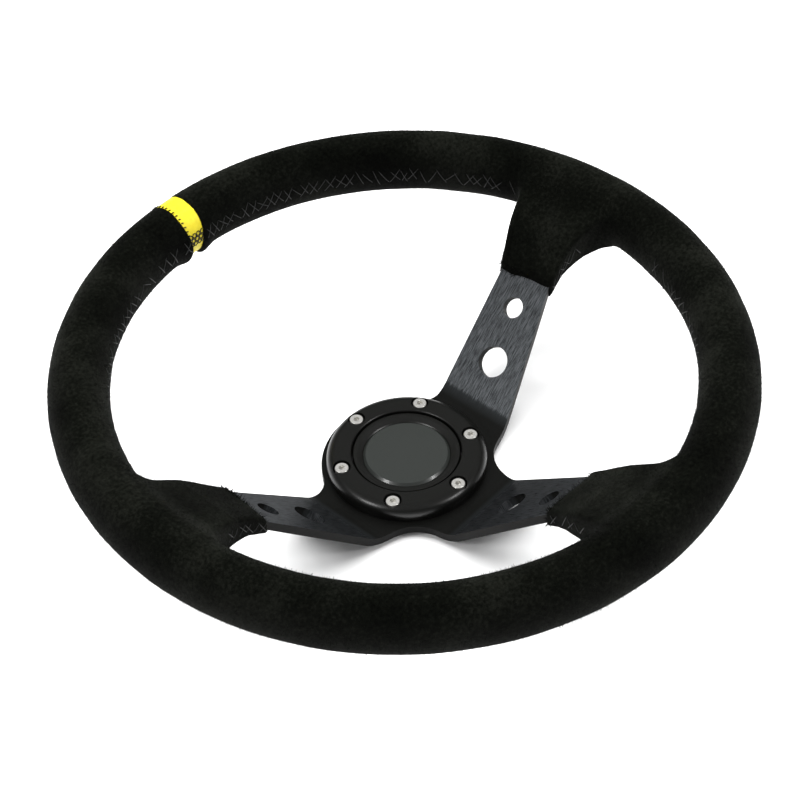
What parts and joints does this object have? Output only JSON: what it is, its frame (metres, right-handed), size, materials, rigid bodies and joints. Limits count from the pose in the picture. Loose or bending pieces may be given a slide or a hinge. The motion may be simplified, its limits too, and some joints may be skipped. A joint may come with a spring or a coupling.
{
  "type": "steering wheel",
  "caption": "Deep-dish three-spoke sports steering wheel, suede-wrapped rim with a yellow centre mark, flat bolt-on hub, trim ring and push-button horn.",
  "frame": {"origin": "centre of the hub's flat back face, on the steering axis", "axes": "+Z along the steering axis towards the driver, +Y towards the 12 o'clock mark, +X towards the 3 o'clock spoke"},
  "size_m": [0.35, 0.3499, 0.095],
  "materials": {
    "spoke_plate": "brushed and anodised black",
    "core_steel": "plain",
    "rivet_steel": "plain",
    "foam": "moulded",
    "suede": "napped",
    "yellow_leather": "smooth",
    "black_satin": "semi-gloss",
    "screw_chrome": "polished",
    "housing_plastic": "moulded",
    "spring_steel": "plain",
    "black_gloss": "semi-gloss",
    "insert_grey": "satin",
    "contact_brass": "plain"
  },
  "bodies": {
    "wheel": {"spoke_plate": "spoke_plate", "rim_core_ring": "core_steel", "spoke_rivets": "rivet_steel", "rim_foam": "foam", "suede_wrap": "suede", "spoke_flap_3": "suede", "spoke_flap_9": "suede", "spoke_flap_6": "suede", "centre_band": "yellow_leather", "trim_ring": "black_satin", "ring_screws": "screw_chrome", "horn_housing": "housing_plastic", "retaining_clip": "spring_steel", "horn_spring": "spring_steel", "fixed_contact": "contact_brass", "contact_insulator": "housing_plastic", "earth_terminal": "contact_brass", "live_terminal": "contact_brass"},
    "horn_button": {"horn_cap": "black_gloss", "horn_insert": "insert_grey", "stem_circlip": "spring_steel", "moving_contact": "contact_brass"}
  },
  "joints": [
    {"name": "horn_press", "type": "slide", "parent": "wheel", "child": "horn_button", "axis": [0, 0, -1], "range_m": [0, 0.002], "stiffness_N_per_m": 3000, "springref_m": -0.002, "deforming": ["horn_spring"]}
  ]
}
